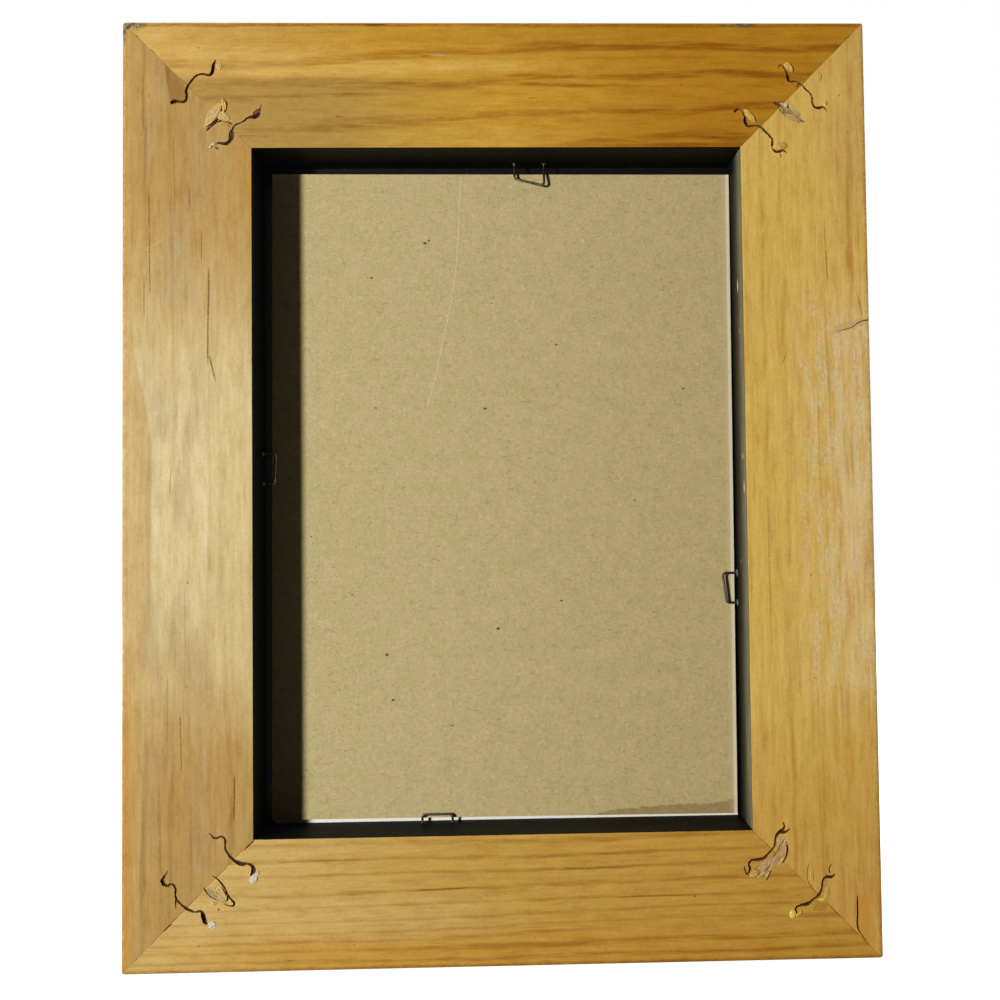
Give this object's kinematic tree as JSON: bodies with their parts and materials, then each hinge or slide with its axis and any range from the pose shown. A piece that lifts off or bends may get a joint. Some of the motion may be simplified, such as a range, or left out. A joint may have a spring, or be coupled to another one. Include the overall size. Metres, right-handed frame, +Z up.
{
  "type": "wooden picture frame",
  "caption": "Mitred pine picture frame, black front, bare wood back with corrugated corner fasteners; glass, sheet and board held in the rebate by wire clips that bend up.",
  "frame": {"origin": "middle of the foot, under the bottom rail, on the surface that the frame stands on", "axes": "+Z up along the frame's height, +Y out of its open back, so the picture side faces -Y; left and right in the names are as seen from the back, so left is +X"},
  "size_m": [0.198, 0.0244, 0.249],
  "materials": {
    "pine": "aged pine, planed and thinly lacquered at the back, satin black paint on the front, the sides and the rebate",
    "fastener_steel": "dull, browned",
    "wire": "drawn zinc-plated wire",
    "glass": "clear float glass",
    "white_sheet": "bare white card, matt",
    "board": "tan chipboard, matt, stained at one corner"
  },
  "bodies": {
    "frame": {"rail_top": "pine", "rail_bottom": "pine", "rail_left": "pine", "rail_right": "pine", "fastener_top_left_outer": "fastener_steel", "fastener_top_left_inner": "fastener_steel", "fastener_top_right_outer": "fastener_steel", "fastener_top_right_inner": "fastener_steel", "fastener_bottom_left_outer": "fastener_steel", "fastener_bottom_left_inner": "fastener_steel", "fastener_bottom_right_outer": "fastener_steel", "fastener_bottom_right_inner": "fastener_steel", "glass_pane": "glass", "picture_sheet": "white_sheet", "backing_board": "board", "clip_top_legs": "wire", "clip_left_legs": "wire", "clip_bottom_legs": "wire", "clip_right_legs": "wire"},
    "top_clip": {"clip_top": "wire"},
    "left_clip": {"clip_left": "wire"},
    "bottom_clip": {"clip_bottom": "wire"},
    "right_clip": {"clip_right": "wire"}
  },
  "joints": [
    {"name": "top_clip_bend", "type": "hinge", "parent": "frame", "child": "top_clip", "pos_m": [-0.0088, -0.0016, 0.21435], "axis": [1, 0, 0], "range_deg": [-10, 73]},
    {"name": "left_clip_bend", "type": "hinge", "parent": "frame", "child": "left_clip", "pos_m": [0.06435, -0.0016, 0.1306], "axis": [0, 0, -1], "range_deg": [-10, 73]},
    {"name": "bottom_clip_bend", "type": "hinge", "parent": "frame", "child": "bottom_clip", "pos_m": [0.0181, -0.0016, 0.03465], "axis": [-1, 0, 0], "range_deg": [-10, 73]},
    {"name": "right_clip_bend", "type": "hinge", "parent": "frame", "child": "right_clip", "pos_m": [-0.06435, -0.0016, 0.0966], "axis": [0, 0, 1], "range_deg": [-10, 73]}
  ]
}
